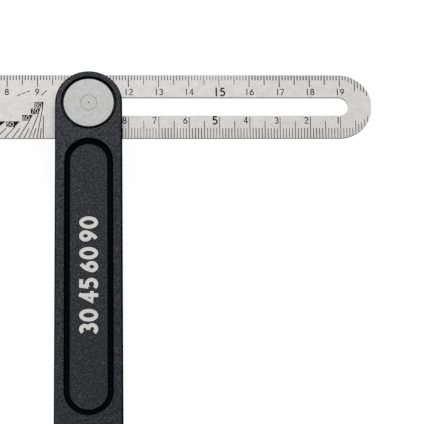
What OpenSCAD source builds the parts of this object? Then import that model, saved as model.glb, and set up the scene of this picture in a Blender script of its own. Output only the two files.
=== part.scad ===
// Angle gauge: a slotted, graduated blade that slides and turns between the two cheeks of a flat stock.
// A bolt with a flat disc head clamps the blade, and a lever behind the stock tightens the bolt.
// Frame: the pivot axis is Z, the lever's flat underside is z = 0 and the front face looks up.
// The slotted end of the blade points along +X, and the round top of the stock points along +Y.

/* [Stock] */
// Width of the stock across its two fence edges
stock_w = 22; // [21:0.5:26]
// Length of the stock from the round top to the foot
stock_len = 130; // [128:1:170]
// Thickness of each cheek plate
cheek_t = 4; // [3.8:0.1:6]
// Radius of the two corners at the foot
foot_r = 3; // [1.5:0.5:5]
// Chamfer round the outer edge of each cheek
edge_chamfer = 0.4; // [0.2:0.1:0.8]
// Length of the spacer that joins the cheeks at the foot
spacer_len = 11; // [10:0.5:14]
// Small chamfer at the mouths of the oval recess and of the bore round the disc
mouth_edge = 0.1; // [0.05:0.05:0.2]

/* [Oval recess] */
// Width of the oval over the outside of the groove
oval_w = 16; // [13:0.5:18]
// Distance from the pivot to the top of the oval
oval_top = 12.2; // [11:0.1:20]
// Distance from the pivot to the bottom of the oval
oval_bottom = 104.8; // [80:0.2:108]
// Depth of the sunken panel in the middle of the oval
panel_d = 1; // [0.4:0.1:1.2]
// Width of the groove round the panel
groove_w = 2; // [1.4:0.1:2.5]
// How much deeper the groove is than the panel
groove_step = 0.6; // [0.3:0.1:1]
// How much each wall of the groove leans in
groove_draft = 0.25; // [0.1:0.05:0.4]

/* [Blade] */
// Length of the blade, whose scale ends a little before its nose
blade_len = 200.3; // [195:0.1:260]
// Width of the blade
blade_w = 22; // [18:0.5:28]
// Thickness of the blade
blade_t = 1; // [0.8:0.1:1.5]
// Scale mark on the blade's centreline that lies on the pivot at rest
pivot_mark = 106.9; // [104:0.1:120]
// Scale mark at the centre of the slot's round end next to the angle lines
slot_from = 103; // [95:0.5:103]
// How much the flat at the end of the blade takes off the round nose
nose_cut = 0.2; // [0.1:0.1:2]
// Radius of the corners at the square end of the blade
corner_r = 1; // [0.5:0.5:4]

/* [Clamp] */
// Diameter of the disc head of the bolt
disc_d = 16.6; // [14:0.2:17]
// Thickness of the disc head
disc_t = 1.5; // [1:0.1:1.6]
// Distance of the disc below the front face when clamped
disc_sink = 0.1; // [0.05:0.05:0.4]
// Open ring round the disc
ring_gap = 0.8; // [0.4:0.1:1]
// Diameter of the bolt's shank, which also sets the slot and every hole that it passes
bolt_d = 6; // [5:0.5:7]
// How far each flat of the square neck stands out from the shank
neck_step = 0.4; // [0.2:0.1:0.6]
// Thread pitch of the bolt, which sets how far half a turn of the lever moves it
thread_pitch = 1; // [0.75:0.25:1]
// Diameter of the friction washers
washer_d = 16; // [12:0.5:17]
// Thickness of the friction washers
washer_t = 0.5; // [0.4:0.05:0.6]
// Height of the disc spring when it is clamped
spring_h = 0.4; // [0.35:0.05:0.6]
// Diameter of the thrust washer
thrust_d = 16; // [12:0.5:18]
// Thickness of the thrust washer
thrust_t = 1; // [0.8:0.1:1.2]
// Depth of the thrust washer's seat in the rear cheek
thrust_seat = 0.5; // [0.3:0.05:0.7]

/* [Lever] */
// Diameter of the lever's hub
hub_d = 20; // [17:0.5:21]
// Reach of the lever from the pivot to its tip
lever_reach = 56; // [44:1:70]
// Width of the lever's round tip
tip_w = 11; // [9:0.5:14]
// Width of the lever's arm where it leaves the hub
arm_w = 14; // [11:0.5:16]
// Thickness of the lever's arm
arm_t = 4.2; // [3:0.1:4.8]
// Width across the flats of the hex nut
nut_w = 10; // [9:0.5:11]
// Height of the hex nut
nut_h = 2.6; // [2:0.1:4]
// Diameter of the cover over the bolt's end
cap_d = 12; // [10.5:0.5:13]

/* [Fasteners] */
// Diameter of the screws at the foot
screw_d = 3; // [2.5:0.5:3]
// Diameter of the screw heads
screw_head_d = 5.5; // [5:0.1:6]
// Distance of each screw from the stock's centreline
screw_x = 6.4; // [5.6:0.1:6.8]
// Diameter of the dowel pins
dowel_d = 2.5; // [1.5:0.5:3]
// Distance between the two dowel pins
dowel_pitch = 5.5; // [4.5:0.5:6]

/* [Hidden] */
$fn = 96;
// Sides of the nut and of the screws' sockets
hex_count = 6;

// Clearances
// Between flat faces that slide on each other
slip = 0.02;
// Round a shank in a bore, or the bolt in its nut
fit_gap = 0.05;
// Round a washer in its recess, and round the bolt inside a washer
loose_gap = 0.3;
// Between the blade and each cheek
side_gap = 0.1;
// Between the bolt and each side of the blade's slot
slot_play = 0.2;
// Round a pin or a screw thread in its hole
pin_gap = 0.02;
// Extra depth that lets a cut pass through a face
cut = 1;

// Clamp end of the bolt, stacked up from the lever's underside
// How far the bolt rises at the end of the lever's half turn
bolt_rise = thread_pitch / 2;
cap_sink = 0.1;
cap_t = 0.7;
end_gap = 0.3;
bolt_tip_h = 0.4;
ring_t = 0.5;
web_t = 0.8;
bolt_end_z = cap_sink + cap_t + end_gap;
ring_z = bolt_end_z + bolt_tip_h;
cavity_h = ring_z + ring_t + bolt_rise + side_gap;
nut_z = cavity_h + web_t;
hub_h = nut_z + nut_h;

// Heights of the stock and the blade
thrust_z = hub_h + slip;
rear_z = thrust_z + thrust_t - thrust_seat;
slot_z = rear_z + cheek_t;
blade_z = slot_z + side_gap;
front_z = blade_z + blade_t + side_gap;
face_z = front_z + cheek_t;
slot_gap = front_z - slot_z;

// Stock in plan
stock_r = stock_w / 2;
foot_y = stock_r - stock_len;

// Bolt
bolt_r = bolt_d / 2;
neck_w = bolt_d + 2 * neck_step;
disc_edge = 0.15;
disc_z1 = face_z - disc_sink;
disc_z0 = disc_z1 - disc_t;
bore_floor_z = disc_z0 - spring_h;
bore_r = disc_d / 2 + ring_gap;
recess_d = washer_t + slip - side_gap;
neck_end_z = front_z + recess_d + side_gap;
ring_neck_r = bolt_r - 0.6;
ring_r = bolt_r + 1.2;
ring_mouth = bolt_r;

// Disc spring
spring_wall = 0.3;
spring_outer_r = disc_d / 2 - 0.2;
spring_inner_r = neck_w / sqrt(2) + loose_gap / 2;

// Blade in plan
blade_r = blade_w / 2;
blade_x0 = -pivot_mark;
blade_x1 = blade_len - pivot_mark;
nose_x = blade_x1 - blade_r + nose_cut;
slot_w = bolt_d + 2 * slot_play;
slot_r = slot_w / 2;
slot_x0 = slot_from - pivot_mark;

// Lever
hub_r = hub_d / 2;
hub_edge = 0.6;
tip_r = tip_w / 2;
tip_ease = 1.2;
tip_flare = 1;
arm_slope = 4;
grip_r = 0.9;
grip_pitch = 3;
grip_count = 5;
grip_depth = 0.5;

// Foot fasteners
foot_mid_y = foot_y + spacer_len / 2;
screw_r = screw_d / 2;
head_r = screw_head_d / 2;
head_rim = 0.2;
screw_skin = 1.4;
socket_w = 2;
socket_d = 0.9;
dowel_r = dowel_d / 2;
dowel_reach = 2;

// Plain ring
module washer(d, hole_d, h) {
    difference() {
        cylinder(h = h, d = d);
        translate([0, 0, -cut])
            cylinder(h = h + 2 * cut, d = hole_d);
    }
}

// Outline of the stock from the front: a half round on the pivot, straight sides and eased foot corners
module stock_outline() {
    circle(stock_r);
    translate([-stock_r, foot_y + foot_r])
        square([stock_w, -foot_y - foot_r]);
    translate([foot_r - stock_r, foot_y])
        square([stock_w - 2 * foot_r, foot_r]);
    for (side = [-1, 1])
        translate([side * (stock_r - foot_r), foot_y + foot_r])
            circle(foot_r);
}

// Band of chamfer that follows the outline: cones at the rounds and sloped bars between them
module stock_chamfer() {
    cylinder(h = edge_chamfer, r1 = stock_r, r2 = stock_r - edge_chamfer);
    rotate([90, 0, 0])
        linear_extrude(-foot_y - foot_r)
            polygon([
                [-stock_r, 0],
                [stock_r, 0],
                [stock_r - edge_chamfer, edge_chamfer],
                [edge_chamfer - stock_r, edge_chamfer]
            ]);
    translate([foot_r - stock_r, foot_y, 0])
        rotate([90, 0, 90])
            linear_extrude(stock_w - 2 * foot_r)
                polygon([[0, 0], [foot_r, 0], [foot_r, edge_chamfer], [edge_chamfer, edge_chamfer]]);
    for (side = [-1, 1])
        translate([side * (stock_r - foot_r), foot_y + foot_r, 0])
            cylinder(h = edge_chamfer, r1 = foot_r, r2 = foot_r - edge_chamfer);
}

// Cheek plate with its inner face at z = 0 and its chamfered outer face on top
module cheek_plate() {
    linear_extrude(cheek_t - edge_chamfer)
        stock_outline();
    translate([0, 0, cheek_t - edge_chamfer])
        stock_chamfer();
}

// Cross-section of the groove: a chamfered mouth at the face outside, the panel's edge inside
module groove_section() {
    half = groove_w / 2;
    wall = half - mouth_edge;
    groove_d = panel_d + groove_step;
    polygon([
        [-half, cut],
        [-half, -panel_d],
        [groove_draft - half, -groove_d],
        [wall - groove_draft, -groove_d],
        [wall, -mouth_edge],
        [half, 0],
        [half, cut]
    ]);
}

// Oval recess: a sunken panel with a closed groove round it, of two straight runs and two half rounds
module oval_recess() {
    mid_r = (oval_w - groove_w) / 2;
    run = oval_bottom - oval_top - oval_w;
    translate([0, -(oval_top + oval_bottom) / 2, 0]) {
        translate([0, 0, -panel_d])
            linear_extrude(panel_d + cut) {
                square([2 * mid_r, run], center = true);
                for (side = [-1, 1])
                    translate([0, side * run / 2])
                        circle(mid_r);
            }
        for (turn = [0, 180])
            rotate([0, 0, turn]) {
                translate([mid_r, run / 2, 0])
                    rotate([90, 0, 0])
                        linear_extrude(run)
                            groove_section();
                translate([0, run / 2, 0])
                    rotate_extrude(angle = 180)
                        translate([mid_r, 0])
                            groove_section();
            }
    }
}

// Places its children at the two screws
module at_screws() {
    for (side = [-1, 1])
        translate([side * screw_x, foot_mid_y, 0])
            children();
}

// Places its children at the two dowel pins
module at_dowels() {
    for (side = [-1, 1])
        translate([0, foot_mid_y + side * dowel_pitch / 2, 0])
            children();
}

// Front cheek: counterbore for the disc, square hole for the neck, washer recess, oval and blind holes
module front_cheek() {
    color([0.13, 0.13, 0.14])
        difference() {
            translate([0, 0, front_z])
                cheek_plate();
            translate([0, 0, bore_floor_z])
                cylinder(h = face_z - bore_floor_z + cut, r = bore_r);
            translate([0, 0, face_z - mouth_edge])
                cylinder(h = mouth_edge + cut, r1 = bore_r, r2 = bore_r + mouth_edge + cut);
            translate([0, 0, front_z + cheek_t / 2])
                cube([neck_w + 2 * fit_gap, neck_w + 2 * fit_gap, cheek_t + cut], center = true);
            translate([0, 0, front_z - cut])
                cylinder(h = recess_d + cut, d = washer_d + 2 * loose_gap);
            translate([0, 0, face_z])
                oval_recess();
            at_screws()
                translate([0, 0, front_z - cut])
                    cylinder(h = cheek_t - screw_skin + cut, r = screw_r + pin_gap);
            at_dowels()
                translate([0, 0, front_z - cut])
                    cylinder(h = dowel_reach + pin_gap + cut, r = dowel_r + pin_gap);
        }
}

// Rear cheek: shank bore, washer recess inside, thrust washer seat outside and countersunk holes
module rear_cheek() {
    color([0.13, 0.13, 0.14])
        difference() {
            translate([0, 0, slot_z])
                mirror([0, 0, 1])
                    cheek_plate();
            translate([0, 0, rear_z - cut])
                cylinder(h = cheek_t + 2 * cut, r = bolt_r + fit_gap);
            translate([0, 0, slot_z - recess_d])
                cylinder(h = recess_d + cut, d = washer_d + 2 * loose_gap);
            translate([0, 0, rear_z - cut])
                cylinder(h = thrust_seat + cut, d = thrust_d + 2 * fit_gap);
            at_screws()
                countersink();
            at_dowels()
                translate([0, 0, slot_z - dowel_reach - pin_gap])
                    cylinder(h = dowel_reach + cut, r = dowel_r + pin_gap);
        }
}

// Clearance hole with a 90 degree countersink that opens at the back of the stock
module countersink() {
    hole_r = screw_r + side_gap;
    mouth_r = head_r + side_gap;
    translate([0, 0, rear_z - cut])
        cylinder(h = cheek_t + 2 * cut, r = hole_r);
    translate([0, 0, rear_z - cut])
        cylinder(h = cut + head_rim, r = mouth_r);
    translate([0, 0, rear_z + head_rim])
        cylinder(h = mouth_r - hole_r, r1 = mouth_r, r2 = hole_r);
}

// Spacer that joins the cheeks and ends the slot, with the same outline as the foot
module end_spacer() {
    color([0.55, 0.56, 0.58])
        difference() {
            translate([0, 0, slot_z])
                linear_extrude(slot_gap)
                    intersection() {
                        stock_outline();
                        translate([-stock_r, foot_y])
                            square([stock_w, spacer_len]);
                    }
            at_screws()
                translate([0, 0, slot_z - cut])
                    cylinder(h = slot_gap + 2 * cut, r = screw_r + side_gap);
            at_dowels()
                translate([0, 0, slot_z - cut])
                    cylinder(h = slot_gap + 2 * cut, r = dowel_r + pin_gap);
        }
}

// Countersunk screws from the back, with a hex socket
module cheek_screws() {
    thread_top = front_z + cheek_t - screw_skin - side_gap;
    color([0.62, 0.62, 0.64])
        at_screws()
            difference() {
                union() {
                    translate([0, 0, rear_z + pin_gap])
                        cylinder(h = head_rim, r = head_r);
                    translate([0, 0, rear_z + pin_gap + head_rim])
                        cylinder(h = head_r - screw_r, r1 = head_r, r2 = screw_r);
                    translate([0, 0, rear_z + pin_gap])
                        cylinder(h = thread_top - rear_z - pin_gap, r = screw_r);
                }
                translate([0, 0, rear_z - cut])
                    cylinder(h = socket_d + cut, r = socket_w / sqrt(3), $fn = hex_count);
            }
}

// Blind pins through the spacer into both cheeks
module dowel_pins() {
    color([0.7, 0.7, 0.72])
        at_dowels()
            translate([0, 0, slot_z - dowel_reach])
                cylinder(h = slot_gap + 2 * dowel_reach, r = dowel_r);
}

// Conical spring washer under the disc head, in its clamped height
module disc_spring() {
    rise = spring_h - spring_wall - slip;
    color([0.5, 0.51, 0.54])
        translate([0, 0, bore_floor_z])
            rotate_extrude()
                polygon([
                    [spring_outer_r, 0],
                    [spring_outer_r, spring_wall],
                    [spring_inner_r, spring_wall + rise],
                    [spring_inner_r, rise]
                ]);
}

// Washer that the nut turns against, seated in the back of the stock
module thrust_washer() {
    color([0.7, 0.7, 0.72])
        translate([0, 0, thrust_z])
            washer(thrust_d, bolt_d + 2 * loose_gap, thrust_t);
}

// Bolt: flat disc head, square neck that keeps it from turning, and a shank with a ring groove
module clamp_bolt() {
    color([0.78, 0.78, 0.77]) {
        translate([0, 0, disc_z0])
            cylinder(h = disc_t - disc_edge, d = disc_d);
        translate([0, 0, disc_z1 - disc_edge])
            cylinder(h = disc_edge, d1 = disc_d, d2 = disc_d - 2 * disc_edge);
        translate([-neck_w / 2, -neck_w / 2, neck_end_z])
            cube([neck_w, neck_w, disc_z0 - neck_end_z]);
        translate([0, 0, ring_z + ring_t])
            cylinder(h = neck_end_z - ring_z - ring_t, r = bolt_r);
        translate([0, 0, ring_z])
            cylinder(h = ring_t, r = ring_neck_r);
        translate([0, 0, bolt_end_z])
            cylinder(h = ring_z - bolt_end_z, r1 = bolt_r - side_gap, r2 = bolt_r);
    }
}

// Open ring in the groove at the end of the bolt, which keeps the lever on
module end_ring() {
    color([0.45, 0.46, 0.5])
        translate([0, 0, ring_z])
            difference() {
                washer(2 * ring_r, 2 * ring_neck_r, ring_t);
                translate([0, -ring_mouth / 2, -cut])
                    cube([ring_r + cut, ring_mouth, ring_t + 2 * cut]);
            }
}

// Washer in the front cheek that the blade slides and turns on
module front_friction_washer() {
    color([0.32, 0.25, 0.18])
        translate([0, 0, front_z + recess_d - washer_t])
            washer(washer_d, bolt_d + 2 * loose_gap, washer_t);
}

// Washer in the rear cheek that the blade slides and turns on
module rear_friction_washer() {
    color([0.32, 0.25, 0.18])
        translate([0, 0, slot_z - recess_d])
            washer(washer_d, bolt_d + 2 * loose_gap, washer_t);
}

// Outline of the blade: square end with eased corners, and a round nose with a small flat at its tip
module blade_outline() {
    translate([blade_x0 + corner_r, -blade_r])
        square([nose_x - blade_x0 - corner_r, blade_w]);
    translate([blade_x0, corner_r - blade_r])
        square([corner_r, blade_w - 2 * corner_r]);
    for (side = [-1, 1])
        translate([blade_x0 + corner_r, side * (blade_r - corner_r)])
            circle(corner_r);
    intersection() {
        translate([nose_x, 0])
            circle(blade_r);
        translate([nose_x, -blade_r])
            square([blade_x1 - nose_x, blade_w]);
    }
}

// Long slot with round ends, the outer one concentric with the nose
module slot_outline() {
    translate([slot_x0, -slot_r])
        square([nose_x - slot_x0, slot_w]);
    for (x = [slot_x0, nose_x])
        translate([x, 0])
            circle(slot_r);
}

// Graduated blade with the slot that the bolt passes through
module blade() {
    color([0.83, 0.83, 0.81])
        translate([0, 0, blade_z])
            linear_extrude(blade_t)
                difference() {
                    blade_outline();
                    slot_outline();
                }
}

// Round hub with eased edges
module lever_hub() {
    rotate_extrude()
        polygon([
            [0, 0],
            [hub_r - hub_edge, 0],
            [hub_r, hub_edge],
            [hub_r, hub_h - hub_edge],
            [hub_r - hub_edge, hub_h],
            [0, hub_h]
        ]);
}

// Arm in plan: it narrows from the hub and ends in a round tip a little wider than itself
module arm_outline() {
    reach = lever_reach - tip_r;
    translate([0, -reach])
        circle(tip_r);
    polygon([
        [arm_w / 2, 0],
        [tip_r - tip_flare, -reach],
        [tip_flare - tip_r, -reach],
        [-arm_w / 2, 0]
    ]);
}

// Arm from the side: full height at the hub, a slope down to the thin part and an eased tip
module arm_side() {
    polygon([
        [0, 0],
        [tip_ease - lever_reach, 0],
        [tip_ease - lever_reach - arm_t / 2, arm_t / 2],
        [tip_ease - lever_reach, arm_t],
        [-hub_r - arm_slope, arm_t],
        [hub_edge - hub_r, hub_h],
        [0, hub_h]
    ]);
}

// Solid lever before its pockets are cut
module lever_blank() {
    lever_hub();
    intersection() {
        linear_extrude(hub_h)
            arm_outline();
        translate([-hub_r, 0, 0])
            rotate([90, 0, 90])
                linear_extrude(hub_d)
                    arm_side();
    }
}

// Lock lever: hex pocket for the nut, cavity for the bolt's end and grip flutes underneath
module lock_lever() {
    flute_y = tip_r - lever_reach;
    color([0.1, 0.1, 0.11])
        difference() {
            lever_blank();
            translate([0, 0, nut_z])
                cylinder(h = nut_h + cut, r = (nut_w + 2 * fit_gap) / sqrt(3), $fn = hex_count);
            translate([0, 0, -cut])
                cylinder(h = hub_h + 2 * cut, r = bolt_r + loose_gap);
            translate([0, 0, -cut])
                cylinder(h = cavity_h + cut, d = cap_d + 2 * pin_gap);
            for (i = [0 : grip_count - 1])
                translate([-hub_r, flute_y + i * grip_pitch, grip_depth - grip_r])
                    rotate([0, 90, 0])
                        cylinder(h = hub_d, r = grip_r);
        }
}

// Hex nut that the lever turns on the bolt
module clamp_nut() {
    color([0.66, 0.6, 0.42])
        translate([0, 0, nut_z])
            difference() {
                cylinder(h = nut_h, r = nut_w / sqrt(3), $fn = hex_count);
                translate([0, 0, -cut])
                    cylinder(h = nut_h + 2 * cut, r = bolt_r + fit_gap);
            }
}

// Cover pressed into the underside of the lever, over the end of the bolt
module lever_cap() {
    color([0.1, 0.1, 0.11])
        translate([0, 0, cap_sink])
            cylinder(h = cap_t, d = cap_d);
}

front_cheek();
rear_cheek();
end_spacer();
cheek_screws();
dowel_pins();
disc_spring();
thrust_washer();
clamp_bolt();
end_ring();
front_friction_washer();
rear_friction_washer();
blade();
lock_lever();
clamp_nut();
lever_cap();
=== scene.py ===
# %% [markdown]
# # Angle gauge: dressing a sliding bevel
# A graduated steel blade turns and slides between the two cheeks of a black stock, and a bolt with a
# flat disc head clamps it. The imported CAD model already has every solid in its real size, so this lesson
# adds what CAD leaves out: light, finishes, and the lines and numbers on the blade and the stock.
# All lengths are in metres in the frame of the CAD model: the pivot is the Z axis and the table is z = 0.

# %% Load the frame
import math

import bpy
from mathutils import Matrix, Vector


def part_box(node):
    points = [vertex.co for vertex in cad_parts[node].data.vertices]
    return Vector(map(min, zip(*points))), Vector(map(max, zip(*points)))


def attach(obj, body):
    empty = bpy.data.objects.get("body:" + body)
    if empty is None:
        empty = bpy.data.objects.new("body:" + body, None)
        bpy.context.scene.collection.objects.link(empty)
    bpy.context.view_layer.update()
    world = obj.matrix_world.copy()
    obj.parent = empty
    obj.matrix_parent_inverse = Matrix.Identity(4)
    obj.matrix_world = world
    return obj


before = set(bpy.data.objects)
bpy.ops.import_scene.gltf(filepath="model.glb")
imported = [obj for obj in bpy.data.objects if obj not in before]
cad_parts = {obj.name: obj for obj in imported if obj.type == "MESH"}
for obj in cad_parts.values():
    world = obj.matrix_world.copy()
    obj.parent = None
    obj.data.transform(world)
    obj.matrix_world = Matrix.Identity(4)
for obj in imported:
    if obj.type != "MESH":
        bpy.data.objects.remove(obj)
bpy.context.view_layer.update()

mm = 0.001
scene = bpy.context.scene

# %% [markdown]
# ## Camera
# The photograph looks down on the gauge with a long lens, about 20 degrees off the vertical. The place,
# the tilt and the focal length were fitted to the scale marks on the blade, which are a ruler that the
# photograph brings along. A long lens keeps the two edges of the blade nearly parallel, so the fit matters
# more than it would with a wide one. The turns are applied in the order Z, Y, X.

# %% Make the camera
camera_data = bpy.data.cameras.new("view_camera")
camera_data.sensor_width = 36
camera_data.lens = 206.96
camera_data.clip_start = 0.01
camera_data.clip_end = 50
camera = bpy.data.objects.new("view_camera", camera_data)
camera.location = Vector((4.636, -272.388, 769.38)) * mm
camera.rotation_mode = "ZYX"
camera.rotation_euler = (0.30178, -0.04469, -0.00176)
scene.collection.objects.link(camera)
scene.camera = camera
print("camera height over the table:", round(camera.location.z, 3), "m, lens", camera_data.lens, "mm")

# %% [markdown]
# ## Nodes by hand
# Every finish below is a small network of shader nodes. Two helpers keep the cells short: one adds a node
# and sets its properties, the other fills a socket with a value or with a link, whichever it is given.

# %% Helpers for nodes
def add_node(tree, kind, **settings):
    """A new node of that kind with its properties set."""
    made = tree.nodes.new(kind)
    for name, value in settings.items():
        setattr(made, name, value)
    return made


def fill(tree, socket, value):
    """Links value into socket if it is a socket itself, and otherwise sets it as the default."""
    if isinstance(value, bpy.types.NodeSocket):
        tree.links.new(value, socket)
    else:
        socket.default_value = value


def calculate(tree, operation, first, second=None, third=None, clamp=False):
    """One Math node; returns its result socket."""
    made = add_node(tree, "ShaderNodeMath", operation=operation, use_clamp=clamp)
    for socket, value in zip(made.inputs, (first, second, third)):
        if value is not None:
            fill(tree, socket, value)
    return made.outputs[0]


def new_group(name, inputs, outputs):
    """An empty shader node group with named sockets; returns it with its input and output nodes."""
    group = bpy.data.node_groups.new(name, "ShaderNodeTree")
    for label, kind, value in inputs:
        socket = group.interface.new_socket(name=label, in_out="INPUT", socket_type="NodeSocket" + kind)
        if value is not None:
            socket.default_value = value
    for label, kind in outputs:
        group.interface.new_socket(name=label, in_out="OUTPUT", socket_type="NodeSocket" + kind)
    return group, group.nodes.new("NodeGroupInput"), group.nodes.new("NodeGroupOutput")


def place_group(tree, group, **values):
    """Puts a shared group into a material and fills its named inputs."""
    made = add_node(tree, "ShaderNodeGroup", node_tree=group)
    for label, value in values.items():
        fill(tree, made.inputs[label], value)
    return made


# %% [markdown]
# ## Shared effect: fine grain
# Nothing made in a workshop is one flat colour. Powder coat, satin steel, moulded plastic and pressed fibre
# all have a grain of a few tenths of a millimetre, only in different strengths. The group takes a position
# and a number of grains per metre, and gives a tint that wavers round 1 and a height for a Bump node.
# A noise stays near its mean, so its swing is multiplied by a gain before it becomes a tint.

# %% Group: fine grain
tint_gain = 4.0
grain_group, grain_in, grain_out = new_group(
    "fine_grain",
    [("Position", "Vector", None), ("Grains", "Float", 2500.0), ("Contrast", "Float", 0.1)],
    [("Tint", "Float"), ("Height", "Float")],
)
grain_noise = add_node(grain_group, "ShaderNodeTexNoise", noise_dimensions="3D")
grain_noise.inputs["Detail"].default_value = 2.0
grain_noise.inputs["Roughness"].default_value = 0.6
fill(grain_group, grain_noise.inputs["Vector"], grain_in.outputs["Position"])
fill(grain_group, grain_noise.inputs["Scale"], grain_in.outputs["Grains"])
centred = calculate(grain_group, "SUBTRACT", grain_noise.outputs["Fac"], 0.5)
swing = calculate(grain_group, "MULTIPLY", centred, grain_in.outputs["Contrast"])
fill(grain_group, grain_out.inputs["Tint"], calculate(grain_group, "MULTIPLY_ADD", swing, tint_gain, 1.0))
fill(grain_group, grain_out.inputs["Height"], grain_noise.outputs["Fac"])
print("group", grain_group.name, "has", len(grain_group.nodes), "nodes")

# %% [markdown]
# ## Shared effect: metal flakes
# The coat of the stock glitters a little: tiny flakes lie in it at all angles, and a few face the light.
# A Voronoi texture splits space into cells. Each cell draws its own random colour, and only the few cells
# whose draw is high enough are lit, each with its own strength.

# %% Group: metal flakes
flake_group, flake_in, flake_out = new_group(
    "metal_flakes",
    [("Position", "Vector", None), ("Flakes", "Float", 2500.0), ("Share", "Float", 0.1)],
    [("Glint", "Float")],
)
flake_cells = add_node(flake_group, "ShaderNodeTexVoronoi", voronoi_dimensions="3D", feature="F1")
fill(flake_group, flake_cells.inputs["Vector"], flake_in.outputs["Position"])
fill(flake_group, flake_cells.inputs["Scale"], flake_in.outputs["Flakes"])
flake_draw = add_node(flake_group, "ShaderNodeSeparateColor")
fill(flake_group, flake_draw.inputs["Color"], flake_cells.outputs["Color"])
flake_limit = calculate(flake_group, "SUBTRACT", 1.0, flake_in.outputs["Share"])
flake_lit = calculate(flake_group, "GREATER_THAN", flake_draw.outputs["Red"], flake_limit)
rim_fade, rim_start = -1.6, 1.25
flake_round = calculate(
    flake_group, "MULTIPLY_ADD", flake_cells.outputs["Distance"], rim_fade, rim_start, clamp=True)
power_spread, least_power = 0.8, 0.2
flake_power = calculate(flake_group, "MULTIPLY_ADD", flake_draw.outputs["Green"], power_spread, least_power)
flake_shape = calculate(flake_group, "MULTIPLY", flake_lit, flake_round)
fill(flake_group, flake_out.inputs["Glint"], calculate(flake_group, "MULTIPLY", flake_shape, flake_power))
print("group", flake_group.name, "has", len(flake_group.nodes), "nodes")

# %% [markdown]
# ## Shared effect: tool lines
# Turning and brushing leave fine lines that run one way. A noise that changes quickly across the lines
# and hardly at all along them draws both: for a brushed part its coordinate is squeezed along the lines,
# and for a turned one its coordinate is the distance from the axis. The material chooses the coordinate.

# %% Group: tool lines
lines_group, lines_in, lines_out = new_group(
    "tool_lines",
    [("Coordinate", "Vector", None), ("Lines", "Float", 3000.0), ("Contrast", "Float", 0.05)],
    [("Tint", "Float"), ("Height", "Float")],
)
lines_noise = add_node(lines_group, "ShaderNodeTexNoise", noise_dimensions="3D")
lines_noise.inputs["Detail"].default_value = 3.0
lines_noise.inputs["Roughness"].default_value = 0.7
fill(lines_group, lines_noise.inputs["Vector"], lines_in.outputs["Coordinate"])
fill(lines_group, lines_noise.inputs["Scale"], lines_in.outputs["Lines"])
lines_centred = calculate(lines_group, "SUBTRACT", lines_noise.outputs["Fac"], 0.5)
lines_swing = calculate(lines_group, "MULTIPLY", lines_centred, lines_in.outputs["Contrast"])
lines_tint = calculate(lines_group, "MULTIPLY_ADD", lines_swing, tint_gain, 1.0)
fill(lines_group, lines_out.inputs["Tint"], lines_tint)
fill(lines_group, lines_out.inputs["Height"], lines_noise.outputs["Fac"])
print("group", lines_group.name, "has", len(lines_group.nodes), "nodes")

# %% [markdown]
# ## Shared effect: painted shade on walls
# A flat part is finished on its two faces, and the walls round it are painted darker as shade, on the coat
# also duller. The group looks at the object's own normal: it gives 0 where the surface faces straight up
# or down and 1 on the walls round it. Wall limit says from which slope on a chamfer counts as wall.

# %% Group: painted wall shade
edge_group, edge_in, edge_out = new_group(
    "wall_shade_mask",
    [("Normal", "Vector", None), ("Face limit", "Float", 0.9), ("Wall limit", "Float", 0.3)],
    [("Edge", "Float")],
)
edge_axes = add_node(edge_group, "ShaderNodeSeparateXYZ")
fill(edge_group, edge_axes.inputs[0], edge_in.outputs["Normal"])
edge_range = add_node(edge_group, "ShaderNodeMapRange")
fill(edge_group, edge_range.inputs["Value"], calculate(edge_group, "ABSOLUTE", edge_axes.outputs["Z"]))
fill(edge_group, edge_range.inputs["From Min"], edge_in.outputs["Face limit"])
fill(edge_group, edge_range.inputs["From Max"], edge_in.outputs["Wall limit"])
fill(edge_group, edge_out.inputs["Edge"], edge_range.outputs["Result"])
print("group", edge_group.name, "has", len(edge_group.nodes), "nodes")

# %% [markdown]
# ## One starting point for every finish
# A Principled BSDF with object coordinates is the start of each material. Numbers that are the same all
# over the part are set on its sockets. Only what changes over the surface is linked: the colour is a
# constant times the tints, and heights go through a Bump node into the normal.

# %% Helpers for finishes
def new_finish(name, metallic, roughness, specular=0.5):
    """A material with its shader and its coordinates; returns material, tree, shader and coordinates."""
    material = bpy.data.materials.new(name)
    material.use_nodes = True
    tree = material.node_tree
    shader = tree.nodes["Principled BSDF"]
    shader.inputs["Metallic"].default_value = metallic
    shader.inputs["Roughness"].default_value = roughness
    shader.inputs["Specular IOR Level"].default_value = specular
    return material, tree, shader, add_node(tree, "ShaderNodeTexCoord")


def tinted(tree, colour, *tints):
    """The colour times each tint, as a colour socket."""
    factor = tints[0]
    for tint in tints[1:]:
        factor = calculate(tree, "MULTIPLY", factor, tint)
    made = add_node(tree, "ShaderNodeMix", data_type="RGBA", blend_type="MULTIPLY")
    made.inputs["Factor"].default_value = 1.0
    made.inputs["A"].default_value = (*colour, 1.0)
    grey = add_node(tree, "ShaderNodeCombineColor")
    for channel in grey.inputs:
        fill(tree, channel, factor)
    fill(tree, made.inputs["B"], grey.outputs["Color"])
    return next(socket for socket in made.outputs if socket.type == "RGBA")


def blended(tree, mask, start, end):
    """Colour that goes from start to end as the mask goes from 0 to 1."""
    made = add_node(tree, "ShaderNodeMix", data_type="RGBA")
    colours = [socket for socket in made.inputs if socket.type == "RGBA"]
    fill(tree, made.inputs["Factor"], mask)
    fill(tree, colours[0], start)
    fill(tree, colours[1], end)
    return next(socket for socket in made.outputs if socket.type == "RGBA")


def eased(tree, value, low, high, at_low, at_high):
    """Goes evenly from at_low to at_high while the value goes from low to high, and stays there."""
    made = add_node(tree, "ShaderNodeMapRange")
    labels = ("Value", "From Min", "From Max", "To Min", "To Max")
    for label, number in zip(labels, (value, low, high, at_low, at_high)):
        fill(tree, made.inputs[label], number)
    return made.outputs["Result"]


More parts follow.
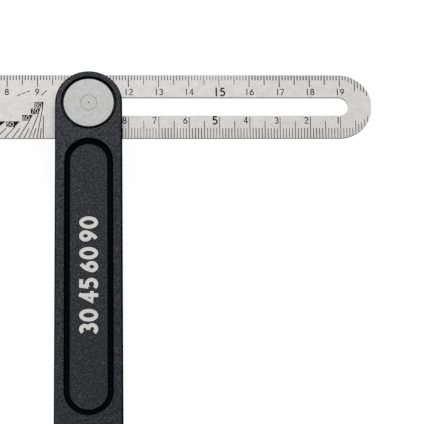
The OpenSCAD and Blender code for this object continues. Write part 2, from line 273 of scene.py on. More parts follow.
def bumped(tree, shader, height, depth, strength):
    """Puts a height into the shader's normal, as bumps of that depth in metres."""
    bump = add_node(tree, "ShaderNodeBump")
    bump.inputs["Strength"].default_value = strength
    bump.inputs["Distance"].default_value = depth
    fill(tree, bump.inputs["Height"], height)
    fill(tree, shader.inputs["Normal"], bump.outputs["Normal"])


# %% [markdown]
# ## Powder coat of the stock
# The cheeks are coated in a dark grey with a fine sparkle, and the coat has the slightly pebbled skin of
# powder that was melted on. A photo texture would repeat and would need pictures, so the grain, the
# flakes and the pebbles are all computed. Each chamfer is painted near black as shade, with less shine,
# and so is a strip of the face along its right side. Two masks of the wall shade group find them: all that
# leans or lies near that side, less all that is upright. The coat is also painted brighter round the disc
# and on its left side, and darker at the foot, than the lamp alone makes it: two slow tints along the stock
# and one across it paint this light and shade, and the flake glints follow them.

# %% Finish: powder coat
coat_specular, shaded_edge_specular = 0.1, 0.01
coat_roughness, flake_polish = 0.55, 0.2
coat, tree, shader, place = new_finish("powder_coat", 0.0, coat_roughness, coat_specular)
coat_grey = (0.0172, 0.0181, 0.0214)
# Near black painted shade for the chamfers and for a strip of the face along its right side.
painted_shade_black = (0.001, 0.001, 0.0012, 1.0)
flake_grey = (0.11, 0.113, 0.122, 1.0)
shaded_side_x = 10.4 * mm
top_y, shoulder_y, foot_y = 8.0 * mm, -25.0 * mm, -115.0 * mm
left_x, middle_x = -10.0 * mm, 3.0 * mm
top_gain, foot_gain, left_gain = 1.3, 0.84, 1.14
grain = place_group(tree, grain_group, Position=place.outputs["Object"], Grains=1700.0, Contrast=1.1)
clouds = place_group(tree, grain_group, Position=place.outputs["Object"], Grains=260.0, Contrast=0.05)
flakes = place_group(tree, flake_group, Position=place.outputs["Object"], Flakes=3600.0, Share=0.12)
leaning = place_group(tree, edge_group, **{"Normal": place.outputs["Normal"], "Wall limit": 0.75})
upright = place_group(tree, edge_group, **{"Normal": place.outputs["Normal"], "Face limit": 0.5})
spot = add_node(tree, "ShaderNodeSeparateXYZ")
fill(tree, spot.inputs[0], place.outputs["Object"])
# The strip of the face along its right side gets painted shade.
painted_right_shade = calculate(tree, "GREATER_THAN", spot.outputs["X"], shaded_side_x)
shaded_edges = calculate(tree, "MAXIMUM", leaning.outputs["Edge"], painted_right_shade)
painted_edge_shade = calculate(tree, "SUBTRACT", shaded_edges, upright.outputs["Edge"], clamp=True)
# Painted light and shade: brighter at the top and on the left, darker at the foot; the glints follow it.
top_painted_light = eased(tree, spot.outputs["Y"], shoulder_y, top_y, 1.0, top_gain)
foot_painted_shade = eased(tree, spot.outputs["Y"], foot_y, shoulder_y, foot_gain, 1.0)
left_painted_light = eased(tree, spot.outputs["X"], left_x, middle_x, left_gain, 1.0)
length_painted_light = calculate(tree, "MULTIPLY", top_painted_light, foot_painted_shade)
painted_light_tint = calculate(tree, "MULTIPLY", length_painted_light, left_painted_light)
coat_face = tinted(tree, coat_grey, grain.outputs["Tint"], clouds.outputs["Tint"], painted_light_tint)
glint = calculate(tree, "MULTIPLY", flakes.outputs["Glint"], painted_light_tint)
coat_face = blended(tree, glint, coat_face, flake_grey)
fill(tree, shader.inputs["Base Color"], blended(tree, painted_edge_shade, coat_face, painted_shade_black))
shine = calculate(tree, "MULTIPLY_ADD", painted_edge_shade, shaded_edge_specular - coat_specular, coat_specular)
fill(tree, shader.inputs["Specular IOR Level"], shine)
dullness = calculate(tree, "MULTIPLY_ADD", flakes.outputs["Glint"], -flake_polish, coat_roughness)
fill(tree, shader.inputs["Roughness"], dullness)
bumped(tree, shader, grain.outputs["Height"], depth=0.03 * mm, strength=0.6)
print("finish", coat.name, "with", len(tree.nodes), "nodes")

# %% [markdown]
# ## Black of the recesses
# The oval groove and the wall of the bore round the disc are smooth and almost black, with a slight blue
# cast. They have their own plain enamel on the same CAD part, so the part carries two materials, and the
# faces of the groove and of that wall are given the second one. A hint of grain keeps it from being flat.

# %% Finish: recess enamel
enamel, tree, shader, place = new_finish("recess_enamel", metallic=0.0, roughness=0.6, specular=0.02)
enamel_black = (0.0004, 0.0011, 0.0034)
grain = place_group(tree, grain_group, Position=place.outputs["Object"], Grains=1500.0, Contrast=0.3)
fill(tree, shader.inputs["Base Color"], tinted(tree, enamel_black, grain.outputs["Tint"]))
bumped(tree, shader, grain.outputs["Height"], depth=0.01 * mm, strength=0.5)
print("finish", enamel.name, "with", len(tree.nodes), "nodes")

# %% [markdown]
# ## Satin steel of the blade
# The blade is stainless steel with a matt, glare-free face, so that its lines can be read at any angle.
# Its grain is even in all directions, unlike a brushed sheet. Its walls are painted darker as shade, which
# is why each edge that the camera sees shows as a thin dark line.

# %% Finish: blade steel
blade_steel, tree, shader, place = new_finish("blade_satin_steel", metallic=1.0, roughness=0.42)
least_roughness, roughness_swing = 0.37, 0.1
blade_tone = (0.503, 0.497, 0.487)
# Painted shade for the walls of the blade.
blade_wall_shade = (0.12, 0.12, 0.12, 1.0)
grain = place_group(tree, grain_group, Position=place.outputs["Object"], Grains=2400.0, Contrast=0.14)
clouds = place_group(tree, grain_group, Position=place.outputs["Object"], Grains=420.0, Contrast=0.07)
walls = place_group(tree, edge_group, Normal=place.outputs["Normal"])
blade_face = tinted(tree, blade_tone, grain.outputs["Tint"], clouds.outputs["Tint"])
fill(tree, shader.inputs["Base Color"], blended(tree, walls.outputs["Edge"], blade_face, blade_wall_shade))
dullness = calculate(tree, "MULTIPLY_ADD", grain.outputs["Height"], roughness_swing, least_roughness)
fill(tree, shader.inputs["Roughness"], dullness)
bumped(tree, shader, grain.outputs["Height"], depth=0.006 * mm, strength=0.4)
print("finish", blade_steel.name, "with", len(tree.nodes), "nodes")

# %% [markdown]
# ## Turned steel of the disc head
# The head of the bolt is faced on a lathe and then tumbled, which leaves soft rings about its centre. The
# coordinate for the tool lines is the distance from the axis, found with the length of the X and Y part
# of the position. The same recipe in another tone serves the screws, pins, spring, washer and ring.

# %% Finish: turned steel
# Share of the tone that the walls keep: they are painted darker as shade.
wall_shade_share = 0.35


def turned_steel(name, tone, roughness, contrast):
    """Satin steel with faint rings round the pivot axis, and walls painted darker as shade."""
    material, tree, shader, place = new_finish(name, metallic=1.0, roughness=roughness)
    flat = add_node(tree, "ShaderNodeVectorMath", operation="MULTIPLY")
    flat.inputs[1].default_value = (1.0, 1.0, 0.0)
    fill(tree, flat.inputs[0], place.outputs["Object"])
    radius = add_node(tree, "ShaderNodeVectorMath", operation="LENGTH")
    fill(tree, radius.inputs[0], flat.outputs[0])
    rings = add_node(tree, "ShaderNodeCombineXYZ")
    fill(tree, rings.inputs["X"], radius.outputs["Value"])
    lines = place_group(tree, lines_group, Coordinate=rings.outputs[0], Lines=2200.0, Contrast=contrast)
    grain = place_group(tree, grain_group, Position=place.outputs["Object"], Grains=700.0, Contrast=0.1)
    walls = place_group(tree, edge_group, Normal=place.outputs["Normal"])
    face = tinted(tree, tone, lines.outputs["Tint"], grain.outputs["Tint"])
    shaded_wall_tone = (*[channel * wall_shade_share for channel in tone], 1.0)
    fill(tree, shader.inputs["Base Color"], blended(tree, walls.outputs["Edge"], face, shaded_wall_tone))
    bumped(tree, shader, lines.outputs["Height"], depth=0.004 * mm, strength=0.4)
    print("finish", name, "with", len(tree.nodes), "nodes")
    return material


disc_steel = turned_steel("disc_turned_steel", tone=(0.408, 0.408, 0.406), roughness=0.4, contrast=0.06)
hardware_steel = turned_steel("hardware_steel", tone=(0.42, 0.42, 0.43), roughness=0.33, contrast=0.08)

# %% [markdown]
# ## Brushed aluminium, fibre, plastic and brass
# The rest of the parts show only at the edges or from behind. The spacer at the foot is sawn from brushed
# strip, the friction washers are pressed fibre, the lever is moulded in matt plastic and its nut is brass.
# Each one is the same recipe with its own tone, grain and depth of bump.

# %% Finish: spacer
spacer_alloy, tree, shader, place = new_finish("spacer_brushed_alloy", metallic=1.0, roughness=0.36)
alloy_tone = (0.5, 0.5, 0.52)
squeeze_along_x = (0.03, 1.0, 1.0)
squeezed = add_node(tree, "ShaderNodeVectorMath", operation="MULTIPLY")
squeezed.inputs[1].default_value = squeeze_along_x
fill(tree, squeezed.inputs[0], place.outputs["Object"])
lines = place_group(tree, lines_group, Coordinate=squeezed.outputs[0], Lines=6000.0, Contrast=0.12)
fill(tree, shader.inputs["Base Color"], tinted(tree, alloy_tone, lines.outputs["Tint"]))
bumped(tree, shader, lines.outputs["Height"], depth=0.01 * mm, strength=0.5)
print("finish", spacer_alloy.name, "with", len(tree.nodes), "nodes")


# %% Finish: moulded and pressed parts
def grainy_finish(name, tone, metallic, roughness, specular, grains, contrast, depth):
    """A plain finish with a fine grain in colour and height."""
    material, tree, shader, place = new_finish(name, metallic, roughness, specular)
    position = place.outputs["Object"]
    grain = place_group(tree, grain_group, Position=position, Grains=grains, Contrast=contrast)
    clouds = place_group(tree, grain_group, Position=position, Grains=150.0, Contrast=0.05)
    face = tinted(tree, tone, grain.outputs["Tint"], clouds.outputs["Tint"])
    fill(tree, shader.inputs["Base Color"], face)
    bumped(tree, shader, grain.outputs["Height"], depth, strength=0.6)
    print("finish", name, "with", len(tree.nodes), "nodes")
    return material


fibre = grainy_finish("pressed_fibre", tone=(0.1, 0.06, 0.035), metallic=0.0, roughness=0.8, specular=0.3,
                      grains=2200.0, contrast=0.4, depth=0.04 * mm)
plastic = grainy_finish("moulded_plastic", tone=(0.017, 0.017, 0.019), metallic=0.0, roughness=0.48,
                        specular=0.35, grains=3400.0, contrast=0.2, depth=0.03 * mm)
brass = grainy_finish("nut_brass", tone=(0.6, 0.44, 0.2), metallic=1.0, roughness=0.35, specular=0.5,
                      grains=1800.0, contrast=0.06, depth=0.01 * mm)

# %% [markdown]
# ## Finishes for the lines and numbers
# The scale is etched into the blade and filled with a dark, neutral ink. Where a number stands in a dark
# plate it is the bare steel that shows. The numbers on the stock are pad-printed in a warm white.

# %% Finish: inks
etched_ink = grainy_finish("etched_ink", tone=(0.009, 0.0088, 0.0085), metallic=0.0, roughness=0.7,
                           specular=0.03, grains=5000.0, contrast=0.2, depth=0.002 * mm)
engraved_grey = grainy_finish("engraved_grey", tone=(0.16, 0.16, 0.16), metallic=0.3, roughness=0.6,
                              specular=0.3, grains=5000.0, contrast=0.15, depth=0.002 * mm)
printed_white = grainy_finish("printed_white", tone=(0.47, 0.465, 0.455), metallic=0.0, roughness=0.6,
                              specular=0.2, grains=2600.0, contrast=0.08, depth=0.01 * mm)

# %% [markdown]
# ## Which part wears which finish
# The CAD parts keep their meshes, so only their material slots are filled. The front cheek gets two
# materials. Inside the oval and inside the bore, all that lies below the chamfered rim is enamelled. Only
# the sunken panel and the floor of the bore, which face straight up, keep the powder coat.

# %% Dress the CAD parts
part_finishes = {
    "rear_cheek": coat,
    "end_spacer": spacer_alloy,
    "cheek_screws": hardware_steel,
    "dowel_pins": hardware_steel,
    "disc_spring": hardware_steel,
    "thrust_washer": hardware_steel,
    "clamp_bolt": disc_steel,
    "end_ring": hardware_steel,
    "front_friction_washer": fibre,
    "rear_friction_washer": fibre,
    "blade": blade_steel,
    "lock_lever": plastic,
    "lever_cap": plastic,
    "clamp_nut": brass,
}
for part, finish in part_finishes.items():
    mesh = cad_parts[part].data
    mesh.materials.clear()
    mesh.materials.append(finish)
print("dressed", len(part_finishes), "parts with one finish each")

# %% Dress the front cheek
face_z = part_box("front_cheek")[1].z
panel_z = face_z - 1.0 * mm
mouth_z = face_z - 0.1 * mm
oval_lowest = face_z - 1.7 * mm
bore_lowest = face_z - 2.1 * mm
slack = 0.01 * mm
bore_reach = 9.3 * mm
oval_half = 8.05 * mm
oval_top, oval_bottom = -12.1 * mm, -104.9 * mm
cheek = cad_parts["front_cheek"].data
cheek.materials.clear()
cheek.materials.append(coat)
cheek.materials.append(enamel)
enamelled_faces = 0
for polygon in cheek.polygons:
    x, y, z = polygon.center
    lowest = min(cheek.vertices[corner].co.z for corner in polygon.vertices)
    in_oval = abs(x) < oval_half and oval_bottom < y < oval_top and z > oval_lowest
    in_bore = math.hypot(x, y) < bore_reach and z > bore_lowest
    is_level = polygon.normal.z > 0.9 and (in_bore or abs(z - panel_z) < slack)
    enamelled = (in_oval or in_bore) and lowest < mouth_z - slack and not is_level
    polygon.material_index = 1 if enamelled else 0
    enamelled_faces += enamelled
print(enamelled_faces, "faces of the front cheek are enamelled")

# %% [markdown]
# ## Strips: the pencil of this lesson
# A line of a scale is a strip of ink a few hundredths of a millimetre thick, mostly sunk in the steel. It
# could be painted in a texture, but a mesh stays sharp at any zoom and rides with the blade. One function
# draws a strip of constant width along any row of points, with mitred corners and closed sides. Strips of
# one drawing that cross each other get slightly different heights, so that no two faces coincide.

# %% Helpers for strips
STEP_UP = 0.001 * mm
LEAST_MITRE = 0.75


def new_shape():
    """An empty list of corners and faces that strips and plates are added to."""
    return [], []


def add_strip(shape, line, width, low, high, closed=False):
    """Adds a flat strip along the points of line; a closed line joins its last point to its first."""
    corners, faces = shape
    points = [Vector(p) for p in line]
    count, first = len(points), len(corners)
    for i, point in enumerate(points):
        before = points[i - 1] if closed or i else None
        after = points[(i + 1) % count] if closed or i < count - 1 else None
        into = (point - before).normalized() if before is not None else (after - point).normalized()
        out = (after - point).normalized() if after is not None else into
        along = (into + out).normalized()
        across = Vector((-along.y, along.x))
        mitre = max(across.dot(Vector((-into.y, into.x))), LEAST_MITRE)
        for z in (low, high):
            for side in (1, -1):
                corners.append((*(point + across * side * width / 2 / mitre), z))
    for i in range(count if closed else count - 1):
        a, b = first + 4 * i, first + 4 * ((i + 1) % count)
        faces += [(a + 3, b + 3, b + 2, a + 2), (a, b, b + 1, a + 1),
                  (a, a + 2, b + 2, b), (a + 1, b + 1, b + 3, a + 3)]
    if not closed:
        last = first + 4 * (count - 1)
        faces += [(first + 1, first + 3, first + 2, first), (last, last + 2, last + 3, last + 1)]


def add_plate(shape, outline, low, high):
    """Adds a flat plate with the given outline, counted anticlockwise."""
    corners, faces = shape
    first, count = len(corners), len(outline)
    corners += [(x, y, low) for x, y in outline] + [(x, y, high) for x, y in outline]
    faces.append(tuple(first + count + i for i in range(count)))
    faces.append(tuple(first + i for i in reversed(range(count))))
    for i in range(count):
        j = (i + 1) % count
        faces.append((first + i, first + j, first + count + j, first + count + i))


def make_piece(name, shape, finish, body):
    """Turns a shape into a mesh piece with a finish that rides on a CAD body."""
    mesh = bpy.data.meshes.new(name)
    mesh.from_pydata(shape[0], [], shape[1])
    mesh.update()
    mesh.materials.append(finish)
    piece = bpy.data.objects.new(name, mesh)
    scene.collection.objects.link(piece)
    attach(piece, body)
    print(name, "has", len(mesh.vertices), "corners and", len(mesh.polygons), "faces")


# %% [markdown]
# ## A stroke alphabet for the numbers
# The figures on the blade are plain and thin, and their 1 is a single bar. A ready-made font would bring
# its own shapes, so each figure is described by the path of a pen on a square of height 1: straight runs
# and pieces of ellipses. The same paths give thin, bold and large figures, only with another pen width.
# A pen line stops dead at its last point, so an end that has to reach the full height or width of the
# figure is marked as square and drawn half a pen further.

# %% Paths of the figures
def arc(x, y, half_width, half_height, start, end, steps=14):
    """Points on an ellipse round x, y from one angle to another, in degrees."""
    turns = [math.radians(start + (end - start) * i / steps) for i in range(steps + 1)]
    return [(x + half_width * math.cos(turn), y + half_height * math.sin(turn)) for turn in turns]


def ring(x, y, half_width, half_height, steps=28):
    """Points on a whole ellipse, without the last one that would repeat the first."""
    return arc(x, y, half_width, half_height, 90, 450, steps)[:-1]


def bend(start, pull, end, steps=8):
    """Points on a curve that leaves start towards pull and arrives at end."""
    points = []
    for i in range(steps + 1):
        t = i / steps
        shares = ((1 - t) ** 2, 2 * t * (1 - t), t * t)
        points.append(tuple(sum(share * value for share, value in zip(shares, values))
                            for values in zip(start, pull, end)))
    return points


OPEN, CLOSED, SQUARE_START, SQUARE_END, SQUARE_BOTH = range(5)
SIX_WIDTH = 0.52
six = [(ring(0.26, 0.29, 0.26, 0.29), CLOSED), (bend((0.44, 1.0), (0.09, 0.72), (0.004, 0.32)), OPEN)]
nine = [([(SIX_WIDTH - x, 1 - y) for x, y in line], kind) for line, kind in six]
FIGURES = {
    "0": (0.6, [(ring(0.3, 0.5, 0.3, 0.5), CLOSED)]),
    "1": (0.0, [([(0, 0), (0, 1)], SQUARE_BOTH)]),
    "2": (0.54, [(arc(0.27, 0.74, 0.25, 0.26, 165, -32) + [(0.0, 0.0), (0.54, 0.0)], SQUARE_END)]),
    "3": (0.53, [(arc(0.25, 0.76, 0.23, 0.24, 150, -100), OPEN),
                 (arc(0.26, 0.27, 0.27, 0.27, 100, -150), OPEN)]),
    "4": (0.58, [([(0.43, 0), (0.43, 1)], SQUARE_BOTH),
                 ([(0.43, 1), (0.0, 0.29), (0.58, 0.29)], SQUARE_BOTH)]),
    "5": (0.54, [([(0.44, 1), (0.11, 1), (0.055, 0.52)], SQUARE_START),
                 (arc(0.23, 0.31, 0.31, 0.31, 132, -140), OPEN)]),
    "6": (SIX_WIDTH, six),
    "7": (0.51, [([(0, 1), (0.51, 1), (0.15, 0)], SQUARE_BOTH)]),
    "8": (0.56, [(ring(0.28, 0.76, 0.22, 0.24), CLOSED), (ring(0.28, 0.26, 0.28, 0.26), CLOSED)]),
    "9": (SIX_WIDTH, nine),
}


def number_width(text, height, pen, gap):
    """Width of a number over the outside of its strokes."""
    reach = height - pen
    return sum(FIGURES[figure][0] * reach + pen for figure in text) + gap * (len(text) - 1)


def further(before, point, length):
    """The point moved on by length, away from the one before it."""
    step = Vector(point) - Vector(before)
    return tuple(Vector(point) + step.normalized() * length)


def add_number(shape, text, x, y, height, pen, gap, low, high, upward=False):
    """Draws a number whose lower left corner is x, y. Upward numbers read along +Y."""
    reach = height - pen
    left = pen / 2
    for figure in text:
        wide, lines = FIGURES[figure]
        for layer, (line, kind) in enumerate(lines):
            spots = [(left + across * reach, pen / 2 + up * reach) for across, up in line]
            spots = [(x - up, y + across) if upward else (x + across, y + up) for across, up in spots]
            if kind in (SQUARE_START, SQUARE_BOTH):
                spots[0] = further(spots[1], spots[0], pen / 2)
            if kind in (SQUARE_END, SQUARE_BOTH):
                spots[-1] = further(spots[-2], spots[-1], pen / 2)
            add_strip(shape, spots, pen, low, high + layer * STEP_UP, kind == CLOSED)
        left += wide * reach + pen + gap


print("figures:", " ".join(FIGURES))

# %% [markdown]
# ## Upper scale
# Its zero is at the square end of the blade, and it has a line every millimetre along the upper edge.
# Every fifth line is longer and every tenth is longer still. On the round nose the lines start at the
# curve, and they grow shorter with it, so those few have their own lengths. In the photograph the lines
# grow finer and heavier by turns, and they are heaviest from 161 to 179 mm. That may come from the pixels of
# the picture and not from the etching. A short table of widths at a few marks follows it, and the lines
# between them take a value in between.

# %% Draw the upper scale
blade_low, blade_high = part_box("blade")
blade_top = blade_high.z
blade_half = blade_high.y
scale_end = 200
nose_centre, nose_radius = 189.5, 11.0
edge_gap = 0.02
ink_low, ink_high = blade_top - 0.02 * mm, blade_top + 0.006 * mm
upper_widths = [(92, 0.28), (96, 0.2), (120, 0.28), (125, 0.18), (136, 0.24), (144, 0.18), (158, 0.19),
                (161, 0.32), (179, 0.33), (190, 0.27)]
lower_widths = [(11, 0.2), (19, 0.28), (28, 0.19), (37, 0.27), (41, 0.2), (47, 0.28), (51, 0.19),
                (58, 0.28), (62, 0.19), (68, 0.29), (71, 0.18)]


def mark_x(mark):
    """X of a mark of the upper scale."""
    return blade_low.x + mark * mm


def width_at(mark, widths):
    """Width of a line in metres, from a table of marks and widths in millimetres."""
    if mark <= widths[0][0]:
        return widths[0][1] * mm
    for (before, first), (after, second) in zip(widths, widths[1:]):
        if mark <= after:
            return (first + (second - first) * (mark - before) / (after - before)) * mm
    return widths[-1][1] * mm


def edge_at(mark):
    """Distance from the blade's centreline to its edge at a mark, in millimetres."""
    if mark <= nose_centre:
        return blade_half / mm
    return math.sqrt(nose_radius ** 2 - (mark - nose_centre) ** 2)


def by_rank(mark, tenth, fifth, other):
    """The value for every tenth mark, for the other fifth ones, or for the rest."""
    return tenth if mark % 10 == 0 else fifth if mark % 5 == 0 else other


upper_nose_starts = {191: 9.33, 192: 9.06, 193: 8.6, 194: 8.06, 195: 5.4,
                     196: 6.55, 197: 5.65, 198: 5.02, 199: 3.76}
upper_nose_gaps = {195: 0.32}
upper_scale = new_shape()
for mark in range(1, scale_end):
    start = upper_nose_starts.get(mark, by_rank(mark, tenth=6.84, fifth=7.64, other=9.22))
    end = edge_at(mark) - upper_nose_gaps.get(mark, edge_gap)
    x = mark_x(mark)
    add_strip(upper_scale, [(x, start * mm), (x, end * mm)],
              width_at(mark, upper_widths), ink_low, ink_high)
make_piece("blade_upper_scale", upper_scale, etched_ink, "blade")

# %% [markdown]
# ## Lower scale
# It counts from the nose towards the stock, so that a distance can be read from that end too. Its lines
# are about twice as long as those of the upper scale, and the tenth ones reach almost to the slot.

# %% Draw the lower scale
lower_marks = 100
lower_nose_ends = {5: 4.85, 4: 6.0, 3: 5.46, 2: 4.5, 1: 3.33}
lower_scale = new_shape()
for mark in range(1, lower_marks + 1):
    end = lower_nose_ends.get(mark, by_rank(mark, tenth=3.7, fifth=5.06, other=7.52))
    x = mark_x(scale_end - mark)
    edge = edge_at(scale_end - mark)
    add_strip(lower_scale, [(x, (edge_gap - edge) * mm), (x, -end * mm)],
              width_at(mark, lower_widths), ink_low, ink_high)
make_piece("blade_lower_scale", lower_scale, etched_ink, "blade")

# %% [markdown]
# ## Numbers of the scales
# Centimetres are numbered. On the upper scale the 1 of a two-figure number stands left of its line and
# the other figure right of it; on the lower scale each number stands just left of its line. Every fifth
# number is larger and bolder, which helps the eye to count. In the photograph a few numbers stand a tenth
# of a millimetre or two aside, or look finer or broader, and short tables follow that too.

# %% Draw the numbers
thin_pen, bold_pen = 0.32 * mm, 0.51 * mm
upper_height, lower_height, bold_height = 2.3 * mm, 2.4 * mm, 3.05 * mm
upper_row, lower_row = 5.1 * mm, -4.85 * mm
thin_gap, bold_gap, lower_gap = 0.75 * mm, 0.85 * mm, 0.5 * mm
thin_start, bold_start = 0.78 * mm, 0.92 * mm
single_shift, line_gap = 0.1 * mm, 0.6 * mm
upper_shifts = {17: 0.18, 18: 0.08, 19: 0.08}
upper_pens = {14: 0.9}
lower_shifts = {3: 0.1, 7: -0.15}
lower_pens = {2: 1.15}
numbers = new_shape()
for centimetre in range(1, 20):
    text = str(centimetre)
    bold = centimetre % 5 == 0
    pen, height = (bold_pen, bold_height) if bold else (thin_pen, upper_height)
    pen *= upper_pens.get(centimetre, 1)
    gap = bold_gap if bold else thin_gap
    x = mark_x(10 * centimetre) + upper_shifts.get(centimetre, 0) * mm
    if len(text) == 1:
        left = x - single_shift - number_width(text, height, pen, gap) / 2
    else:
        left = x - (bold_start if bold else thin_start) - pen / 2
    add_number(numbers, text, left, upper_row - height / 2, height, pen, gap, ink_low, ink_high)
for centimetre in range(1, 11):
    text = str(centimetre)
    bold = centimetre % 5 == 0
    pen, height = (bold_pen, bold_height) if bold else (thin_pen, lower_height)
    pen *= lower_pens.get(centimetre, 1)
    right = mark_x(scale_end - 10 * centimetre) - line_gap + lower_shifts.get(centimetre, 0) * mm
    left = right - number_width(text, height, pen, lower_gap)
    add_number(numbers, text, left, lower_row - height / 2, height, pen, lower_gap, ink_low, ink_high)
make_piece("blade_numbers", numbers, etched_ink, "blade")

# %% [markdown]
# ## Angle lines
# With the pivot at the inner end of the slot, the left edge of the stock lies along one of these lines,
# and the line gives the angle. So each line can be computed from the width of the stock: it is a tangent
# to the stock's half width round that pivot. All tens but 90 run up to a dark plate with their number, the
# fives between them are short, and two more lines, at 45 and 22.5 degrees, show above.

# %% Draw the angle lines
pivot_mark = 103.0
stock_half = 11.0
angle_lines = new_shape()
line_foot, square_top, short_top = -10.98, -3.32, -7.6
fan_width = 0.275 * mm
plate_tops = {80: 1.6, 70: -0.66, 60: -2.95, 50: -5.2, 40: -5.2, 30: -5.2, 20: -5.2}
plate_feet = {80: 2.75, 70: 2.5, 60: 2.4}
plate_foot, plate_height, plate_overlap = 2.75, 1.98, 0.1
half_square_low, half_square_high = 3.87, 5.7
dashes, dash_low, dash_length, dash_pitch = 3, 3.78, 0.47, 0.62


def on_angle_line(angle, y):
    """Where the line of that angle is y millimetres over the centreline, as x and y in metres."""
    turn = math.radians(angle)
    mark = pivot_mark - stock_half / math.sin(turn) + y / math.tan(turn)
    return mark_x(mark), y * mm


def add_angle_line(angle, low, high):
    """Draws the part of an angle line between two heights in millimetres."""
    ends = [on_angle_line(angle, low), on_angle_line(angle, high)]
    add_strip(angle_lines, ends, fan_width, ink_low, ink_high)


for angle in range(20, 95, 5):
    top = square_top if angle == 90 else short_top
    if angle in plate_tops:
        top = plate_tops[angle] - plate_height + plate_overlap
    add_angle_line(angle, line_foot, top)
add_angle_line(45, half_square_low, half_square_high)
for i in range(dashes):
    start = dash_low + i * dash_pitch
    add_angle_line(22.5, start, start + dash_length)
make_piece("blade_angle_lines", angle_lines, etched_ink, "blade")

# %% [markdown]
# ## Plates with the angle numbers
# Each ten but 90 has a dark plate whose right side leans with its line. The number is bare steel. A
# hole in the plate would need a boolean for every figure, so the figures are strips of the blade's own
# finish that lie a few thousandths of a millimetre higher.

# %% Draw the plates and their numbers
plate_pen, plate_gap, plate_margin, plate_number_height = 0.2 * mm, 0.16 * mm, 0.13, 1.72 * mm
plate_high = ink_high + 3 * STEP_UP
plate_number_high = ink_high + 6 * STEP_UP
plates, plate_numbers = new_shape(), new_shape()
for angle, top in plate_tops.items():
    foot = top - plate_height
    top_right, foot_right = on_angle_line(angle, top), on_angle_line(angle, foot)
    left = foot_right[0] - plate_feet.get(angle, plate_foot) * mm
    outline = [(left, foot * mm), foot_right, top_right, (left, top * mm)]
    add_plate(plates, outline, ink_low, plate_high)
    add_number(plate_numbers, str(angle), left + plate_margin * mm, (foot + plate_margin) * mm,
               plate_number_height, plate_pen, plate_gap, ink_low, plate_number_high)
make_piece("angle_number_plates", plates, etched_ink, "blade")
make_piece("angle_numbers", plate_numbers, blade_steel, "blade")

# %% [markdown]
# ## Numbers on the stock
# The panel in the oval carries large printed figures that read upwards. Here they are the angles that
# a joiner sets most often. They are the same pen paths as before with a broad pen, turned a quarter turn.

# %% Draw the numbers on the stock
print_low, print_high = panel_z - 0.03 * mm, panel_z + 0.01 * mm
stock_numbers = new_shape()
common_angles = ("30", "45", "60", "90")
print_height, print_pen, print_gap, print_space = 6.1 * mm, 1.25 * mm, 0.55 * mm, 1.85 * mm
reading = -78.4 * mm
for text in common_angles:
    add_number(stock_numbers, text, print_height / 2, reading, print_height, print_pen, print_gap,
               print_low, print_high, upward=True)
    reading += number_width(text, print_height, print_pen, print_gap) + print_space
make_piece("stock_numbers", stock_numbers, printed_white, "stock")
print("the numbers end", round(reading / mm, 1), "mm from the pivot")

# %% [markdown]
# ## Centre mark of the disc
# The flat head has a lightly engraved mark in its middle: a ring with a small punch mark at its centre.
# Both are drawn as strips in a grey that stands for the shaded bottom of a fine engraved line.

# %% Draw the centre mark
disc_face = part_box("clamp_bolt")[1].z
mark_low, mark_high = disc_face - 0.02 * mm, disc_face + 0.004 * mm
circle_radius, circle_pen, dot_radius = 2.6 * mm, 0.16 * mm, 0.35 * mm
circle = ring(0, 0, circle_radius, circle_radius, steps=72)
dot = arc(0, 0, dot_radius, dot_radius, 0, 360, steps=24)[:-1]
centre_mark = new_shape()
add_strip(centre_mark, circle, circle_pen, mark_low, mark_high, closed=True)
add_plate(centre_mark, dot, mark_low, mark_high)
make_piece("disc_centre_mark", centre_mark, engraved_grey, "bolt")

# %% [markdown]
# ## Table
# The photograph has no visible ground: the gauge lies on pure white and throws no shadow. That is what a
# light table does, so the table here is a large opal sheet that glows by itself and reflects only little
# of the light from above. It is kept just at white: a brighter one would eat into every edge of the
# gauge. A slight grain keeps it from being flat.

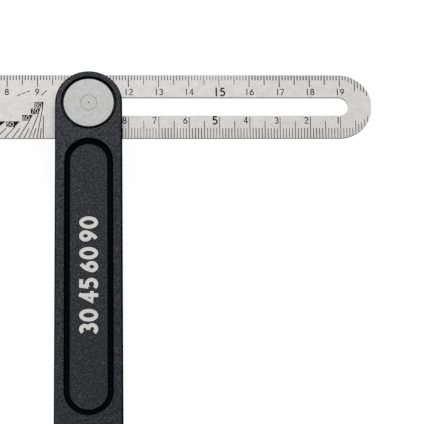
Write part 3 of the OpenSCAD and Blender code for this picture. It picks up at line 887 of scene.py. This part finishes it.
# %% Lay the table
table_mesh = bpy.data.meshes.new("table_sheet")
table_reach = 6.0
table_mesh.from_pydata(
    [(-table_reach, -table_reach, 0), (table_reach, -table_reach, 0),
     (table_reach, table_reach, 0), (-table_reach, table_reach, 0)],
    [], [(0, 1, 2, 3)])
opal = grainy_finish("table_opal", tone=(0.12, 0.12, 0.12), metallic=0.0, roughness=0.9, specular=0.1,
                     grains=500.0, contrast=0.005, depth=0.005 * mm)
table_mesh.materials.append(opal)
table_glow = 0.91
table_shader = opal.node_tree.nodes["Principled BSDF"]
table_shader.inputs["Emission Color"].default_value = (1.0, 1.0, 1.0, 1.0)
table_shader.inputs["Emission Strength"].default_value = table_glow
table = bpy.data.objects.new("table_sheet", table_mesh)
scene.collection.objects.link(table)

# %% [markdown]
# ## Studio light
# The light comes from all round and from above, as in a light tent. The tent is the world: bright
# overhead, dimmer towards the horizon, so that walls and chamfers come out darker than the faces. A tent
# alone lights both ends of the stock alike, but in the photograph the foot is the darker one. So a soft
# lamp stands close to the gauge, beyond the round top, and its light falls off towards the foot. The
# picture is developed without a film curve, to keep white white.

# %% Light the scene
scene.view_settings.view_transform = "Standard"
world = bpy.data.worlds.new("light_tent")
scene.world = world
world.use_nodes = True
tree = world.node_tree
sky = tree.nodes["Background"]
sky.inputs["Color"].default_value = (1.0, 1.0, 1.0, 1.0)
direction = add_node(tree, "ShaderNodeTexCoord")
axes = add_node(tree, "ShaderNodeSeparateXYZ")
fill(tree, axes.inputs[0], direction.outputs["Generated"])
low_rise, high_rise = -0.05, 0.7
horizon_light, overhead_light = 0.72, 1.02
brightness = eased(tree, axes.outputs["Z"], low_rise, high_rise, horizon_light, overhead_light)
fill(tree, sky.inputs["Strength"], brightness)


def add_lamp(name, place, aim, size, power):
    """A square soft lamp that looks at a point."""
    data = bpy.data.lights.new(name, "AREA")
    data.shape = "SQUARE"
    data.size = size
    data.energy = power
    lamp = bpy.data.objects.new(name, data)
    lamp.location = place
    lamp.rotation_euler = (Vector(aim) - Vector(place)).to_track_quat("-Z", "Y").to_euler()
    scene.collection.objects.link(lamp)


middle = (0.0, 0.0, 0.01)
add_lamp("soft_lamp", place=(-0.06, 0.55, 0.3), aim=middle, size=0.5, power=3.6)
print("tent and lamp are set")
